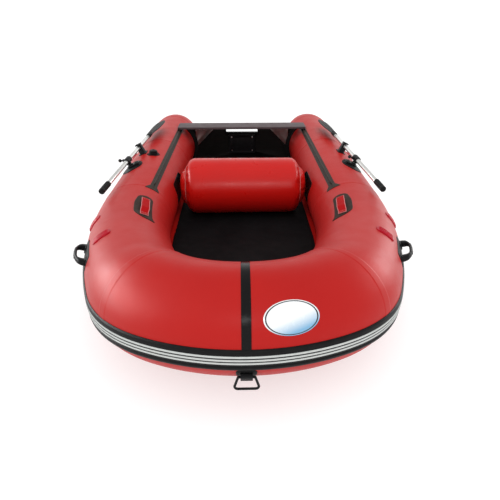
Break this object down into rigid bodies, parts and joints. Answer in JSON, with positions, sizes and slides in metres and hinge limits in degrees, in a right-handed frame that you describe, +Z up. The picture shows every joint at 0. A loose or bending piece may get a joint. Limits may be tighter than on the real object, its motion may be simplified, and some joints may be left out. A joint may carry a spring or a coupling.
{
  "type": "inflatable dinghy",
  "caption": "Inflatable dinghy with two side tubes, raised bow, air floor, transom, sliding bench seat, loose inflatable thwart and stowed oars.",
  "frame": {"origin": "on the ground under the middle of the boat, on the keel strip", "axes": "-Y towards the bow, +X to port, +Z up"},
  "size_m": [1.841, 3.5816, 0.5679],
  "materials": {
    "red_pvc": "satin coated fabric",
    "red_moulded": "satin",
    "black_rubber": "satin",
    "black_pvc": "satin coated fabric",
    "black_mat": "matte foam",
    "pale_stripe": "satin",
    "black_plywood": "painted",
    "grey_board": "satin painted",
    "grey_bracket": "cast, satin",
    "grey_green_plastic": "moulded",
    "silver_tube": "anodised",
    "black_plastic": "moulded",
    "steel": "stainless",
    "badge_white": "gloss"
  },
  "bodies": {
    "hull": {"accessory_base": "black_plastic", "accessory_patch": "black_pvc", "air_floor": "red_pvc", "badge": "badge_white", "bottom_skin": "red_pvc", "bow_chamber": "red_pvc", "bow_ring_bracket": "black_plastic", "bow_ring_patch": "black_pvc", "bow_seam_tape": "black_pvc", "carry_handle_patches": "black_pvc", "carry_handle_straps": "red_pvc", "chafe_strips": "black_rubber", "drain_socket": "black_plastic", "floor_mat": "black_mat", "keel_tube": "red_pvc", "lifeline_fittings": "red_moulded", "motor_pads": "black_plastic", "oar_clips": "black_plastic", "port_side_chamber": "red_pvc", "rowlock_bases": "black_plastic", "rowlock_patches": "black_pvc", "rowlock_pins": "steel", "rowlock_rings": "grey_green_plastic", "rub_strake": "black_rubber", "seat_rails": "black_rubber", "side_handle_patches": "black_pvc", "side_handles": "black_plastic", "starboard_side_chamber": "red_pvc", "stern_end_caps": "black_rubber", "stern_tow_eyes": "steel", "strake_stripes": "pale_stripe", "thwart_mount_patches": "black_pvc", "transom_board": "black_plywood", "transom_bolts": "steel", "transom_holders": "black_rubber", "transom_knees": "grey_bracket", "transom_trim": "black_plastic", "valve_bodies": "black_plastic"},
    "seat": {"seat_board": "grey_board", "seat_slides": "black_plastic"},
    "thwart": {"thwart_bolster": "red_pvc", "thwart_valve_body": "black_plastic"},
    "thwart_cap": {"thwart_valve_cap": "black_plastic"},
    "port_cap": {"port_valve_cap": "black_plastic"},
    "starboard_cap": {"starboard_valve_cap": "black_plastic"},
    "bow_cap": {"bow_valve_cap": "black_plastic"},
    "floor_cap": {"floor_valve_cap": "black_plastic"},
    "drain_bung": {"drain_plug": "black_rubber"},
    "lock_ring": {"accessory_lock_ring": "black_plastic"},
    "towing_ring": {"bow_towing_ring": "black_plastic"},
    "port_oar": {"port_oar_shaft": "silver_tube", "port_oar_grip": "black_plastic", "port_oar_collar": "black_plastic", "port_oar_knob": "black_plastic", "port_oar_blade": "black_plastic"},
    "starboard_oar": {"starboard_oar_shaft": "silver_tube", "starboard_oar_grip": "black_plastic", "starboard_oar_collar": "black_plastic", "starboard_oar_knob": "black_plastic", "starboard_oar_blade": "black_plastic"}
  },
  "joints": [
    {"name": "port_oar_swing", "type": "hinge", "parent": "hull", "child": "port_oar", "pos_m": [0.78563, 0, 0.43423], "axis": [-0.4384, 0, -0.8988], "range_deg": [0, 95]},
    {"name": "starboard_oar_swing", "type": "hinge", "parent": "hull", "child": "starboard_oar", "pos_m": [-0.78563, 0, 0.43423], "axis": [-0.4384, 0, 0.8988], "range_deg": [0, 95]},
    {"name": "seat_slide", "type": "slide", "parent": "hull", "child": "seat", "axis": [0, -1, 0], "range_m": [0, 0.6]},
    {"name": "thwart_lift", "type": "slide", "parent": "hull", "child": "thwart", "axis": [0, 0, 1], "range_m": [0, 0.1]},
    {"name": "towing_ring_swing", "type": "hinge", "parent": "hull", "child": "towing_ring", "pos_m": [0, -1.76368, 0.23621], "axis": [-1, 0, 0], "range_deg": [-30, 110]},
    {"name": "lock_ring_turn", "type": "hinge", "parent": "hull", "child": "lock_ring", "pos_m": [-0.67131, 0.226, 0.45645], "axis": [0.0698, 0, 0.9976], "range_deg": [0, 60]},
    {"name": "drain_bung_pull", "type": "slide", "parent": "hull", "child": "drain_bung", "axis": [0, 1, 0], "range_m": [0, 0.06]},
    {"name": "port_cap_turn", "type": "hinge", "parent": "hull", "child": "port_cap", "pos_m": [0.47764, 1.345, 0.31659], "axis": [-0.9272, 0, 0.3746], "range_deg": [0, 90]},
    {"name": "starboard_cap_turn", "type": "hinge", "parent": "hull", "child": "starboard_cap", "pos_m": [-0.47764, 1.345, 0.31659], "axis": [0.9272, 0, 0.3746], "range_deg": [0, 90]},
    {"name": "bow_cap_turn", "type": "hinge", "parent": "hull", "child": "bow_cap", "pos_m": [0.10536, -1.3374, 0.45218], "axis": [-0.1884, 0.8458, 0.4992], "range_deg": [0, 90]},
    {"name": "floor_cap_turn", "type": "hinge", "parent": "hull", "child": "floor_cap", "pos_m": [-0.4, 1.106, 0.0763], "axis": [0, 0, 1], "range_deg": [0, 90]},
    {"name": "thwart_cap_turn", "type": "hinge", "parent": "thwart", "child": "thwart_cap", "pos_m": [0.25, 0.21081, 0.19499], "axis": [0, 0.9063, -0.4226], "range_deg": [0, 90]}
  ]
}
